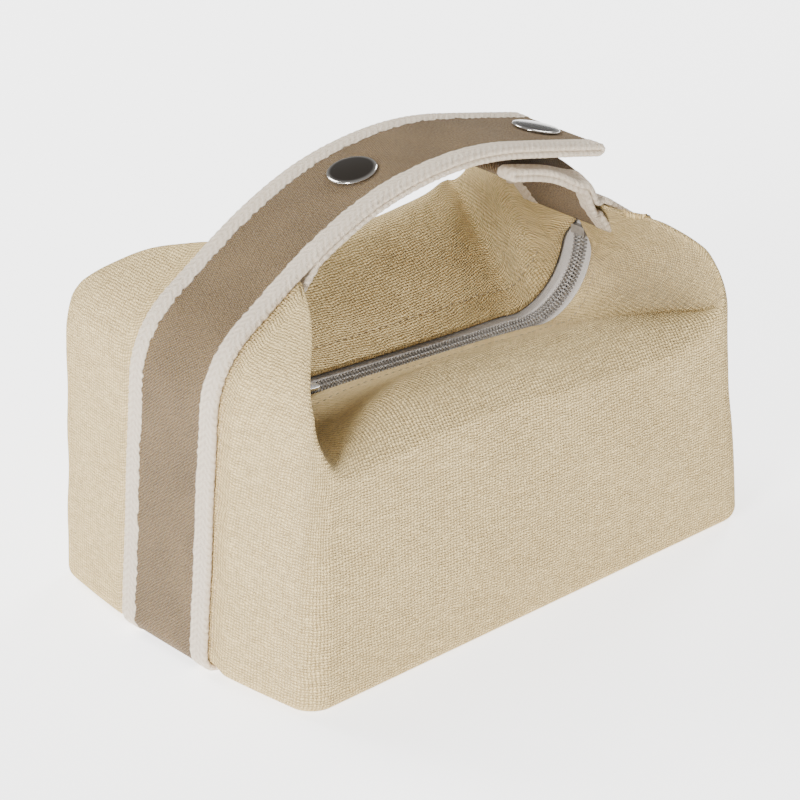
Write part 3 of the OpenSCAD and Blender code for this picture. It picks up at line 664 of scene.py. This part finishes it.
def webbing_material():
    """Ribbed taupe middle and knitted off-white borders, told apart by the distance across."""
    material, shader, start = new_material("taupe_webbing", Roughness=0.9, Sheen_Weight=0.15,
                                           Sheen_Roughness=0.5, Specular_IOR_Level=0.15)
    s, y = attribute(start, "along"), attribute(start, "across")
    here = vec(start, s, y, 0.0)
    edge = noise(start, 330.0, 2.0, vector=here)
    knit_wave = (s * (2 * math.pi / (2.9 * MM))).sin() * 0.00022
    side = (y.abs() + (edge - 0.5) * 0.0020 + knit_wave * 0.6).ramp((WEB_HALF - BORDER - 0.25) * MM,
                                                             (WEB_HALF - BORDER + 0.25) * MM)
    # middle: fine twill ribs that lean across the webbing
    lean = (s + y * 0.8 + (edge - 0.5) * 0.0007) / (0.95 * MM)
    cross = (s * 0.25 - y) / (0.7 * MM)
    rib = (0.5 + 0.5 * (lean * 2 * math.pi).sin()) * (0.62 + 0.38 * (cross * 2 * math.pi).sin())
    fleck = noise(start, 1500.0, 2.0, vector=here)
    cloud = noise(start, 55.0, 2.0, vector=here)
    tone = 0.26 + 0.50 * rib + 1.1 * (fleck - 0.5) + 0.35 * (cloud - 0.5)
    middle = tone.ramp(-0.1, 1.0).colours((0.055, 0.030, 0.009, 1), (0.30, 0.197, 0.086, 1))
    # borders: slanting knitted loops, worn a little fluffy
    from_border = (y.abs() - (WEB_HALF - BORDER / 2) * MM).abs()
    slant = (s + from_border * 0.9 + (edge - 0.5) * 0.0012) / (2.3 * MM)
    loop = 0.5 + 0.5 * (slant * 2 * math.pi).sin()
    course = 0.5 + 0.5 * (y * (2 * math.pi / (1.6 * MM))).sin()
    fluff = noise(start, 2200.0, 4.0, 0.7, vector=here)
    knit = 0.34 + 0.28 * loop + 0.16 * course + 0.9 * (fluff - 0.5)
    pale = knit.ramp(-0.1, 0.9).colours((0.72, 0.55, 0.37, 1), (1.0, 0.865, 0.69, 1))
    link_to(side.colours(middle, pale), shader)
    bump(side * (knit * 2.6) + (1 - side) * (rib + 0.8 * (fleck - 0.5)), 0.00050, shader)
    return material


webbing = webbing_material()


def strip(name, centre, seed, wobble=0.25, droop=None):
    """Webbing swept along a line in the X-Z plane: flat in the middle with round, thicker borders.

    droop(x, z) is how far the edges hang below the middle; in between it goes with y squared.
    """
    p = resample(centre, 0.8)
    nrm = normals_2d(p)
    n = len(p)
    s = lengths(p)
    y = np.concatenate([np.linspace(-1, -0.90, 7)[:-1], np.linspace(-0.90, 0.90, 53),
                        np.linspace(0.90, 1, 7)[1:]]) * WEB_HALF
    # once round the section: the upper face, then back along the lower face
    face = np.repeat([1, -1], [len(y), len(y) - 2])
    y = np.concatenate([y, y[::-1][1:-1]])
    inside = np.clip(WEB_HALF - np.abs(y), 0, None)
    body = 0.80 + 0.30 * smooth((np.abs(y) - (WEB_HALF - BORDER) + 0.4) / 1.2)
    half = body * np.sqrt(1 - (1 - np.clip(inside / 1.3, 0, 1))**2)
    rng = np.random.default_rng(seed)
    drift = sum(np.sin(s / w + rng.uniform(0, 6.3)) for w in (6.0, 15.0, 31.0)) / 3 * wobble
    loops = 0.14 * np.sin(s / 2.9 * 2 * np.pi)
    border = smooth((np.abs(y) - (WEB_HALF - BORDER)) / 1.5)
    knit = 0.06 * np.sin((s[:, None] + 0.9 * np.abs(y)) / 2.3 * 2 * np.pi)
    h = face * (half + border * knit * (half > 0.4))
    lateral = y + drift[:, None] + loops[:, None] * np.sign(y) * (np.abs(y) > WEB_HALF - 1.5)
    P = np.stack([p[:, :1] + nrm[:, :1] * h, lateral, p[:, 1:] + nrm[:, 1:] * h], -1)
    if droop:
        P[..., 2] -= droop(p[:, 0], p[:, 1])[:, None] * (P[..., 1] / WEB_HALF)**2
    m = P.shape[1]
    i, j = np.meshgrid(np.arange(n - 1), np.arange(m), indexing="ij")
    a = (i * m + j).ravel()
    b = (i * m + (j + 1) % m).ravel()
    quads = np.stack([a, a + m, b + m, b], 1)
    faces = list(quads) + [list(range(m)), list(range((n - 1) * m + m - 1, (n - 1) * m - 1, -1))]
    points = P.reshape(-1, 3)
    # faces outward: the volume of the closed strip comes out positive
    q0, q1, q2, q3 = (points[quads[:, corner]] for corner in range(4))
    if (q0 * (np.cross(q1, q2) + np.cross(q2, q3))).sum() < 0:
        faces = [list(face)[::-1] for face in faces]
    piece = mesh_piece(name, points, faces, webbing,
                       {"along": np.repeat(s, m) * MM, "across": np.tile(y, n) * MM})
    return piece


def doubled_line(e, top):
    """Middle line of an end's webbing: from under the base up the wall, along the top layer of the
    strap past the peak, round the fold and back, then down inside the peak."""
    out = (SIDE[e], 1)
    wall = offset(outline(e) * out, -1.1 * SIDE[e])
    upper, lower = offset(top, SIDE[e]), offset(top, 3.0 * SIDE[e])[::-1]
    middle = (upper[-1] + lower[0]) / 2
    half = upper[-1] - middle
    a = np.linspace(0, math.pi, 11)[1:-1, None]
    fold = middle + np.cos(a) * half + 1.3 * np.linalg.norm(half) * np.sin(a) * unit(upper[-1] - upper[-2])
    peak = np.array(PEAK[e]) * out
    lower = lower[np.linalg.norm(lower - peak, axis=1) > 4.5]
    # inside the peak it turns back outwards and lies against the canvas that falls to the zip
    fall = unit(np.array([SIDE[e] * ZIP_X, ZIP_TOP[e]]) - peak)
    off = np.array([-fall[1], fall[0]])
    off = off if off[1] < 0 else -off
    tuck_from = peak + 3.6 * fall + 3.2 * off
    tuck = tuck_from + np.linspace(0, 7.0, 8)[:, None] * fall
    corner = peak - 3.0 * fall + 2.4 * off
    turn_in = [(1 - t)**2 * lower[-1] + 2 * t * (1 - t) * corner + t * t * tuck_from
               for t in np.linspace(0, 1, 9)[1:-1]]
    return np.concatenate([wall[:-2], upper[1:], fold, lower, turn_in, tuck])


def sewn_up(name, e, top, seed, nodes, droop=None):
    """Webbing that is sewn to the bag up to the peak and runs on past it, baked in place."""
    piece = strip(name, doubled_line(e, top), seed, droop=droop)
    peak, along = np.array(PEAK[e]) * (SIDE[e], 1), rise(e) * (SIDE[e], 1)
    a, b = peak - 1.0 * along, peak + 17.0 * along
    a[0] * MM
    a[1] * MM
    b[0] * MM
    b[1] * MM
    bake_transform(piece)
    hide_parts(*nodes)


def short_droop(x, z):
    """Slack of the short strap's edges, largest between its lap and the right peak."""
    hump = np.exp(-((x - 58.5) / np.where(x < 58.5, 11.5, 8.0))**2)
    return 5.6 * hump * smooth((68.0 - x) / 6.0) * smooth((z - 101.0) / 6.0)


sewn_up("long_webbing", 0, arch_top, 3, ("long_strap", "left_strap_facing"))
sewn_up("short_webbing", 1, short_top[::-1], 8, ("short_strap", "right_strap_facing"),
        short_droop)
base_webbing = strip("base_webbing", np.array([(-69.9, 0.95), (69.9, 0.95)]), 4, 0.15)
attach(base_webbing, "bag")
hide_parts("sling_strap")


# ----------------------------------------------
# Stitching
# Golden polyester thread: a row on the canvas along each edge of the webbing on both ends, and a
# topstitched row round the mouth that holds the lining's seam down.
# ----------------------------------------------
thread_material, thread_shader, start = new_material("golden_thread", Roughness=0.6, Sheen_Weight=0.2)
twist = (attribute(start, "along") * (2 * math.pi / 0.0006)).sin() * 0.5 + 0.5
link_to(twist.colours((0.40, 0.27, 0.12, 1), (0.66, 0.50, 0.28, 1)), thread_shader)
quiet_thread, _, _ = new_material("cream_thread", Roughness=0.7, Sheen_Weight=0.2,
                                  Base_Color=(0.36, 0.27, 0.16, 1))


def bar_faces(n, sides):
    """Faces of n rings of points in a row, with a lid on both ends."""
    i, j = np.meshgrid(np.arange(n - 1), np.arange(sides), indexing="ij")
    p, q = (i * sides + j).ravel(), (i * sides + (j + 1) % sides).ravel()
    faces = [tuple(face) for face in np.stack([p, q, q + sides, p + sides], 1)]
    return faces + [tuple(range(sides))[::-1], tuple(range((n - 1) * sides, n * sides))]


def tube(path, radius, sides):
    """Round bar along a path of 3-D points: rings set square to it, with round ends."""
    t = unit(np.gradient(path, axis=0))
    cap = np.radians([75.0, 45.0, 18.0])
    first = path[0] - t[0] * radius * np.sin(cap)[:, None]
    last = path[-1] + t[-1] * radius * np.sin(cap[::-1])[:, None]
    radii = np.concatenate([radius * np.cos(cap), np.full(len(path), radius), radius * np.cos(cap[::-1])])
    path = np.concatenate([first, path, last])
    t = np.concatenate([np.repeat(t[:1], 3, 0), t, np.repeat(t[-1:], 3, 0)])
    u = unit(np.cross(t, (0.0, 1.0, 0.0) if abs(t[0][1]) < 0.8 else (0.0, 0.0, 1.0)))
    w = np.cross(t, u)
    a = np.linspace(0, 2 * np.pi, sides, endpoint=False)[:, None]
    rings = path[:, None] + radii[:, None, None] * (u[:, None] * np.cos(a) + w[:, None] * np.sin(a))
    return rings.reshape(-1, 3), bar_faces(len(path), sides)


def gather(parts):
    """One set of points and faces from many."""
    points, faces, base = [], [], 0
    for q, part_faces in parts:
        points.append(q)
        faces += [tuple(int(k) + base for k in face) for face in part_faces]
        base += len(q)
    return np.concatenate(points), faces


STITCH_L = 2.0


def stitches(path, normals, gap, radius, lift, seed):
    """Short threads laid end to end along a path on cloth, each dipping into it at both ends."""
    rng = np.random.default_rng(seed)
    s = lengths(path)
    arch = lift - 0.35 + 0.42 * np.sin(np.linspace(0, np.pi, 7))**0.5
    parts = []
    at = 0.6
    while at + STITCH_L < s[-1]:
        t = np.linspace(at, at + STITCH_L, 7)
        parts.append(tube(along_line(t, s, path) + along_line(t, s, normals) * arch[:, None], radius, 6))
        at += STITCH_L + gap + rng.uniform(-0.12, 0.12)
    return parts


def stitched(name, parts, material):
    """All stitches of one kind, as one piece."""
    points, faces = gather(parts)
    piece = mesh_piece(name, points, faces, material, {"along": points @ (1, 0.3, 1) * MM})
    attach(piece, "bag")


# The topstitch keeps back from the mouth and ends where the slope meets the fold and the webbing
FROM_MOUTH, FROM_SEAM, ABOVE_ROW = 10.0, 34, FOOT_ROWS + WALL_ROWS + FOLD_ROWS + 15
edge_rows, mouth_rows = [], []
for f in (-1, 1):
    P, normal, (k, e, v) = canvas_grid[f]
    for end in (0, 1):
        column = np.where((k == 0) & (e == end))[0]
        column = column[np.argmin(np.abs(v[column] - 21.1))]
        rows = slice(8, int(np.argmax(P[column, :, 2])) - 7)
        edge_rows += stitches(P[column, rows], normal[column, rows], 0.8, 0.22, 0.05, 7 + f + end)
    column = np.where((k > 0) | (v > FROM_SEAM))[0]
    to_mouth = np.linalg.norm(P - P[:, -1:], axis=-1)
    row = np.array([np.argmax(to_mouth[c] < FROM_MOUTH) for c in column])
    column, row = column[row > ABOVE_ROW], row[row > ABOVE_ROW]
    mouth_rows += stitches(P[column, row], normal[column, row], 0.9, 0.17, 0.0, 17 + f)
stitched("webbing_stitching", edge_rows, thread_material)
stitched("mouth_stitching", mouth_rows, quiet_thread)


# ----------------------------------------------
# Press studs
# Polished nickel caps on the upper side of the long strap, riveted through the webbing to a stud
# and a socket; the socket snaps over the stud of the short strap.
# ----------------------------------------------
CAP_R, CAP_EDGE = 7.7, 0.45
nickel, nickel_shader, start = new_material("dark_nickel", Metallic=1.0, Roughness=0.1)
near_rim = (attribute(start, "radius") / (CAP_R * MM)).ramp(0.80, 1.0)
link_to(near_rim.colours((0.10, 0.085, 0.07, 1), (0.62, 0.59, 0.55, 1)), nickel_shader)
link_to(0.07 + 0.10 * noise(start, 700.0, 3.0), nickel_shader, "Roughness")
chrome, chrome_shader, start = new_material("bright_nickel", Metallic=1.0, Roughness=0.22)
grain = noise(start, 1100.0, 3.0)
link_to(grain.colours((0.55, 0.53, 0.50, 1), (0.74, 0.72, 0.69, 1)), chrome_shader)
link_to(0.18 + 0.14 * grain, chrome_shader, "Roughness")


def lathe(profile, at, axis, sides=72):
    """Points turned about an axis in the X-Z plane through a point; the profile is (radius, height)."""
    r, h = np.asarray(profile, float).T
    a = np.linspace(0, 2 * np.pi, sides, endpoint=False)
    across = np.array([axis[1], 0, -axis[0]])
    up = np.array([axis[0], 0, axis[1]])
    ring = np.cos(a)[:, None] * across + np.sin(a)[:, None] * np.array([0, 1.0, 0])
    points = np.array([at[0], 0, at[1]]) + r[:, None, None] * ring[None] + h[:, None, None] * up
    return points.reshape(-1, 3), bar_faces(len(r), sides), np.repeat(r, sides)


near_turn = math.degrees(math.asin(NEAR_BACK / HANDLE_R))
near_axis = np.array([-sind(near_turn), cosd(near_turn)])
near_at = handle_mid + HANDLE_R * near_axis
far_at = tail_end - CAP_INSET * tail_dir
rim = [(CAP_R - CAP_EDGE + CAP_EDGE * math.cos(a), 0.42 + 0.40 * math.sin(a))
       for a in np.radians(np.linspace(-90, 62, 10))]
dome = [(7.3 * (1 - t), 0.80 + 0.42 * (1 - (1 - t)**2)) for t in np.linspace(0.03, 0.985, 14)]
cap_profile = [(1.4, -1.9), (1.5, 0.02)] + rim + dome
for name, node, at, axis in (("near_cap_dome", "near_cap", near_at, near_axis),
                             ("far_cap_dome", "far_cap", far_at, tail_up)):
    points, faces, radius = lathe(cap_profile, at, axis)
    piece = mesh_piece(name, points, faces, nickel, {"radius": radius * MM})
    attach(piece, "handle")
    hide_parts(node)
for node in ("near_stud", "far_socket", "short_stud", "stud_back"):
    paint(node, chrome)


# ----------------------------------------------
# Zip
# Pale grey woven tapes, each with a row of nylon coil teeth sewn along its edge, sewn under the
# canvas lips. The row climbs both ends; metal stops end it and a metal slider runs along it.
# ----------------------------------------------
tape_material, tape_shader, start = new_material("grey_tape", Roughness=0.85, Sheen_Weight=0.2,
                                                 Specular_IOR_Level=0.2)
s_along, s_across = attribute(start, "along"), attribute(start, "up")
zigzag = ((s_across / (1.6 * MM)).fract() - 0.5).abs() * (1.6 * MM)
herring = ((s_along + zigzag * 1.4) * (2 * math.pi / (0.62 * MM))).sin() * 0.5 + 0.5
weft = (s_across * (2 * math.pi / (0.55 * MM))).sin() * 0.5 + 0.5
cloth_tone = herring * 0.55 + weft * 0.25 + noise(start, 900.0, 2.0) * 0.35
link_to(cloth_tone.ramp(0.0, 1.0).colours((0.42, 0.385, 0.35, 1), (0.72, 0.68, 0.64, 1)),
        tape_shader)
bump(herring + weft, 0.00008, tape_shader)

TAPE_IN, TAPE_OUT, TAPE_T, TAPE_N, TAPE_M = 0.6, 10.9, 0.55, 260, 20
d = np.linspace(0, ZIP_LEN, TAPE_N)
on, up = on_zip(d)
across = np.linspace(TAPE_IN, TAPE_OUT, TAPE_M)
for f, half in HALVES:
    P = np.stack(np.broadcast_arrays(on[:, :1], f * across, on[:, 1:]), -1)
    normal = np.stack(np.broadcast_arrays(up[:, :1], np.zeros(TAPE_M), up[:, 1:]), -1)
    wave = 0.10 * np.sin(d / 7.0 + f)[:, None] * smooth((across - 4) / 5)[None]
    P = P + normal * (wave - 0.02)[..., None]
    piece = cloth_piece(half + "_tape", P, normal, TAPE_T, tape_material,
                        np.repeat(d, TAPE_M) * MM, np.tile(across, TAPE_N) * MM)
    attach(piece, "bag")
    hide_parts(half + "_zip_tape")

coil_material, coil_shader, start = new_material("silver_coil", Roughness=0.35, Metallic=0.35,
                                                 Specular_IOR_Level=0.5)
shade = noise(start, 600.0, 2.0)
link_to(shade.colours((0.17, 0.155, 0.14, 1), (0.48, 0.45, 0.42, 1)), coil_shader)
PITCH, SLIDER_IN, SLIDER_L, STOP_DROP = 1.3, 8.0, 12.0, 2.6
slider_rear = FLAT_FROM + SLIDER_IN - SLIDER_L / 2
coil_from, coil_to = slider_rear + 0.4, ZIP_LEN - STOP_DROP - 3.2
# each turn of the coil rises from the tape, crosses towards the middle and hooks down there
side = np.array([2.45, 2.5, 2.3, 1.8, 1.2, 0.85, 0.72, 0.70])
tall = np.array([0.15, 0.7, 1.15, 1.40, 1.42, 1.32, 1.10, 0.75])
slip = np.array([-0.25, -0.22, -0.15, -0.08, 0.0, 0.05, 0.05, 0.05])
for f, half in HALVES:
    shift = 0.0 if f < 0 else PITCH / 2
    parts = []
    for at in np.arange(coil_from, coil_to, PITCH) + shift:
        if at > coil_to:
            continue
        (base,), (high,) = on_zip(np.array([at]))
        q = np.stack([base[0] + high[0] * tall + high[1] * slip, f * side,
                      base[1] + high[1] * tall - high[0] * slip], -1)
        parts.append(tube(q, 0.33, 7))
    # sewing cord that holds the turns to the tape
    row = np.arange(coil_from, coil_to, 0.25)
    on_row, up_row = on_zip(row)
    wavy = 1.36 + 0.40 * np.cos((row - coil_from - shift) / PITCH * 2 * np.pi)
    cord = np.stack([on_row[:, 0] + up_row[:, 0] * wavy, np.full(len(row), f * 1.7),
                     on_row[:, 1] + up_row[:, 1] * wavy], -1)
    parts.append(tube(cord, 0.26, 7))
    piece = mesh_piece(half + "_coil", *gather(parts), coil_material)
    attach(piece, "bag")
    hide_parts(half + "_zip_coil")


def flat_part(name, outline_2d, holes, thick, bevel):
    """Plate with holes and rounded edges, made from a filled curve: returns points and faces."""
    curve = bpy.data.curves.new(name, "CURVE")
    curve.dimensions, curve.fill_mode = "2D", "BOTH"
    curve.extrude, curve.bevel_depth, curve.bevel_resolution = thick / 2 - bevel, bevel, 3
    for loop in [outline_2d] + list(holes):
        spline = curve.splines.new("POLY")
        spline.points.add(len(loop) - 1)
        for point, (px, py) in zip(spline.points, loop):
            point.co = (px, py, 0, 1)
        spline.use_cyclic_u = True
    holder = placed(name, curve)
    bpy.context.view_layer.update()
    mesh = bpy.data.meshes.new_from_object(holder)
    bpy.data.objects.remove(holder)
    bm = bmesh.new()
    bm.from_mesh(mesh)
    bmesh.ops.remove_doubles(bm, verts=bm.verts, dist=0.002)
    bmesh.ops.recalc_face_normals(bm, faces=bm.faces)
    points = np.array([tuple(vert.co) for vert in bm.verts])
    faces = [tuple(vert.index for vert in face.verts) for face in bm.faces]
    bm.free()
    bpy.data.meshes.remove(mesh)
    return points, faces


def rounded(x0, x1, y0, y1, r, steps=7):
    """Rounded rectangle, anticlockwise."""
    loop = []
    for (cx, cy), a in (((x1 - r, y1 - r), 0), ((x0 + r, y1 - r), 90), ((x0 + r, y0 + r), 180),
                        ((x1 - r, y0 + r), 270)):
        loop += [(cx + r * cosd(a + b), cy + r * sind(a + b)) for b in np.linspace(0, 90, steps)]
    return loop


zip_fwd = unit(ZIP[ARC_N + 1] - ZIP[ARC_N])
zip_up = np.array([-zip_fwd[1], zip_fwd[0]])
(slider_from,), _ = on_zip(np.array([slider_rear]))


def by_slider(points, origin=(0, 0), turn=0.0):
    """From (along, across, up) at the slider's rear end to the bag's frame, after a tilt about Y."""
    c, t = cosd(turn), sind(turn)
    a = points[:, 0] * c + points[:, 2] * t + origin[0]
    h = -points[:, 0] * t + points[:, 2] * c + origin[1]
    return np.stack([slider_from[0] + a * zip_fwd[0] + h * zip_up[0], points[:, 1],
                     slider_from[1] + a * zip_fwd[1] + h * zip_up[1]], -1)


# the slider: two plates that taper forwards, the wedge between them and the bridge on top
plate = [(0.0, -2.5), (2.0, -3.3), (6.0, -3.8), (9.6, -4.4), (11.3, -4.1), (12.0, -2.6)]
plate = plate + [(10.9, -0.5), (10.9, 0.5)] + [(x, -y) for x, y in plate[::-1]]
wedge = rounded(9.0, 11.2, -0.2, 0.2, 0.15)
parts = []
for shape, middle, thick, bevel in ((plate, 2.67, 1.05, 0.3), (plate, -1.58, 1.05, 0.3),
                                    (wedge, 0.5, 4.4, 0.05)):
    points, faces = flat_part("slider_plate", shape, (), thick, bevel)
    points[:, 2] += middle
    parts.append((by_slider(points), faces))
bridge = np.array([(1.9, 0, 3.0), (2.0, 0, 4.6), (2.7, 0, 6.0), (4.2, 0, 6.9), (6.0, 0, 7.1), (7.8, 0, 6.9),
                   (9.3, 0, 6.0), (10.0, 0, 4.6), (10.1, 0, 3.0)])
bridge = along_line(np.linspace(0, 8, 40), np.arange(9), bridge)
points, faces = tube(bridge, 0.75, 12)
points[:, 1] *= 1.5
parts.append((by_slider(points), faces))
slider = mesh_piece("slider", *gather(parts), chrome)
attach(slider, "slider")
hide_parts("slider_body")

# the puller: a plate with an eye and a hole, and the pin that hangs in the bridge
PULL_L, PULL_R, HOLE_R, HANG = 25.0, 3.8, 1.6, ((6.0, 4.7), 28.0)
tip = [(-PULL_L + PULL_R + PULL_R * cosd(a), PULL_R * sind(a)) for a in np.linspace(90, 270, 25)]
outline_2d = [(1.0, 2.9), (0.4, 3.4), (-8.0, 3.3)] + tip + [(-8.0, -3.3), (0.4, -3.4), (1.0, -2.9)]
hole = [(-PULL_L + PULL_R + HOLE_R * cosd(a), HOLE_R * sind(a))
        for a in np.linspace(0, 360, 24, endpoint=False)]
points, faces = flat_part("pull", outline_2d, (rounded(-8.2, -0.8, -2.1, 2.1, 0.8), hole), 1.2, 0.35)
parts = [(by_slider(points, *HANG), faces)]
points, faces = tube(np.stack([np.zeros(9), np.linspace(-2.9, 2.9, 9), np.zeros(9)], -1), 0.8, 14)
parts.append((by_slider(points, *HANG), faces))
puller = mesh_piece("pull_tab", *gather(parts), chrome)
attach(puller, "pull")
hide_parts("puller")

for node in ("zip_top_stops", "zip_bottom_stop"):
    paint(node, coil_material)


# ----------------------------------------------
# Camera, floor and light
# A long lens from the front left and a little above, a white floor that glows softly, and three
# round soft boxes: behind, at the left and behind at the right.
# ----------------------------------------------
AZIMUTH, ELEVATION = math.radians(-42.4), math.radians(25.9)
DISTANCE, SHIFT_LEFT, SHIFT_UP = 961, 2.6, 46.0
back = np.array([math.sin(AZIMUTH) * math.cos(ELEVATION), -math.cos(AZIMUTH) * math.cos(ELEVATION),
                 math.sin(ELEVATION)])
right = np.array([math.cos(AZIMUTH), math.sin(AZIMUTH), 0.0])
top_axis = np.cross(back, right)
camera = bpy.data.cameras.new("camera")
camera.lens, camera.sensor_width = 135, 36
camera_object = placed("camera", camera)
place = (back * DISTANCE - right * SHIFT_LEFT + top_axis * SHIFT_UP) * MM
camera_object.matrix_world = Matrix([[right[i], top_axis[i], back[i], place[i]] for i in range(3)]
                                    + [[0, 0, 0, 1]])
bpy.context.scene.camera = camera_object

floor_material, _, _ = new_material("white_floor", Roughness=0.9, Base_Color=(0.9, 0.9, 0.9, 1),
                                    Emission_Color=(1, 1, 1, 1), Emission_Strength=2.4)
FLOOR_HALF, FLOOR_Z = 4000, -0.2
floor = mesh_piece("floor", [(x * FLOOR_HALF, y * FLOOR_HALF, FLOOR_Z)
                             for x, y in ((-1, -1), (1, -1), (1, 1), (-1, 1))],
                   [(0, 1, 2, 3)], floor_material, smooth=False)

world = bpy.data.worlds.new("studio")
bpy.context.scene.world = world
world.use_nodes = True
background = world.node_tree.nodes["Background"]
background.inputs[0].default_value = (1, 1, 1, 1)
background.inputs[1].default_value = 0.42


def softbox(name, place, size, power):
    """A round soft lamp turned to the middle of the case."""
    lamp = bpy.data.lights.new(name, "AREA")
    lamp.shape, lamp.size, lamp.energy = "DISK", size, power
    holder = placed(name, lamp)
    way = Vector((0, 0, 0.08)) - Vector(place)
    holder.matrix_world = Matrix.Translation(place) @ way.to_track_quat("-Z", "Y").to_matrix().to_4x4()


softbox("back_light", (-0.25, 1.15, 1.15), 0.7, 28)
softbox("left_light", (-1.35, -0.45, 0.62), 0.5, 31)
softbox("right_light", (1.15, 0.45, 1.05), 0.6, 17)
